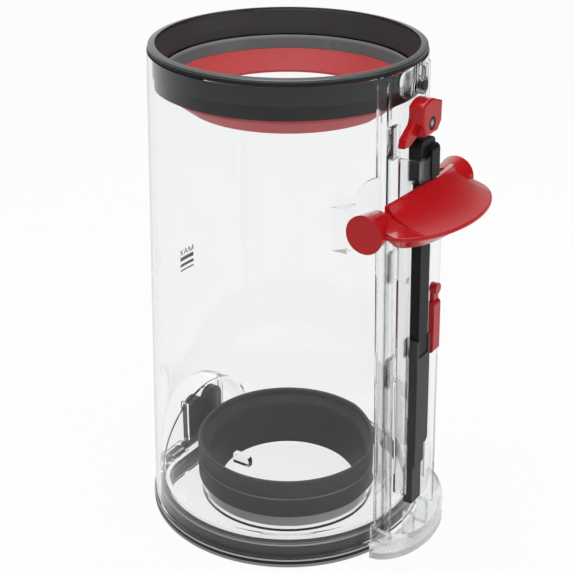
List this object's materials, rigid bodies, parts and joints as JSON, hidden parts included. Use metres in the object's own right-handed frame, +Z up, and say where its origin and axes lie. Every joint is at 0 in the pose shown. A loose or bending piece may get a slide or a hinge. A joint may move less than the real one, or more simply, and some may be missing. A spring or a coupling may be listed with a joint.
{
  "type": "cyclone dust bin",
  "caption": "Clear tapered dust bin for a cordless cyclone vacuum cleaner, with a hinged base flap, sealing rings and a red sliding lever that empties it.",
  "frame": {"origin": "on the tube's axis, in the flat underside of the base flap", "axes": "+Z up the tube to its open top, -Y to the runner and lever, +Y to the base hinge"},
  "size_m": [0.1254, 0.151, 0.2149],
  "materials": {
    "clear_plastic": "clear polished polycarbonate",
    "black_plastic": "fine satin moulded plastic",
    "black_rubber": "soft satin rubber",
    "grey_plastic": "dark grey satin plastic",
    "red_rubber": "red flexible rubber",
    "red_plastic": "glossy red plastic",
    "steel": "turned steel",
    "dark_steel": "dark oxide steel"
  },
  "bodies": {
    "bin": {"bin_tube": "clear_plastic", "top_collar": "black_plastic", "collar_lip_seal": "black_rubber", "wiper_holder": "grey_plastic", "shroud_wiper": "red_rubber", "hinge_cover": "grey_plastic", "hinge_pin": "dark_steel", "runner_plug": "black_rubber", "catch_pin": "steel", "lever_spring": "steel", "catch_spring": "steel"},
    "base": {"base_flap": "clear_plastic", "base_rim_seal": "black_rubber", "ring_carrier": "black_plastic", "inner_ring_seal": "black_rubber"},
    "lever": {"empty_lever": "red_plastic", "push_rod": "black_plastic", "release_slide": "grey_plastic"},
    "catch": {"top_catch": "red_plastic"},
    "button": {"release_button": "red_plastic"}
  },
  "joints": [
    {"name": "base_hinge", "type": "hinge", "parent": "bin", "child": "base", "pos_m": [0, 0.0535, 0.01], "axis": [1, 0, 0], "range_deg": [0, 95]},
    {"name": "lever_slide", "type": "slide", "parent": "bin", "child": "lever", "axis": [0, -0.024, -0.9997], "range_m": [0, 0.012], "stiffness_N_per_m": 300, "springref_m": -0.01, "deforming": ["lever_spring"]},
    {"name": "catch_pivot", "type": "hinge", "parent": "bin", "child": "catch", "pos_m": [0, -0.06329, 0.19158], "axis": [0, -0.9997, 0.024], "range_deg": [-12, 12], "stiffness_Nm_per_rad": 0.03},
    {"name": "button_press", "type": "slide", "parent": "bin", "child": "button", "axis": [0, 0.9997, -0.024], "range_m": [0, 0.0012], "stiffness_N_per_m": 500, "springref_m": -0.002}
  ]
}
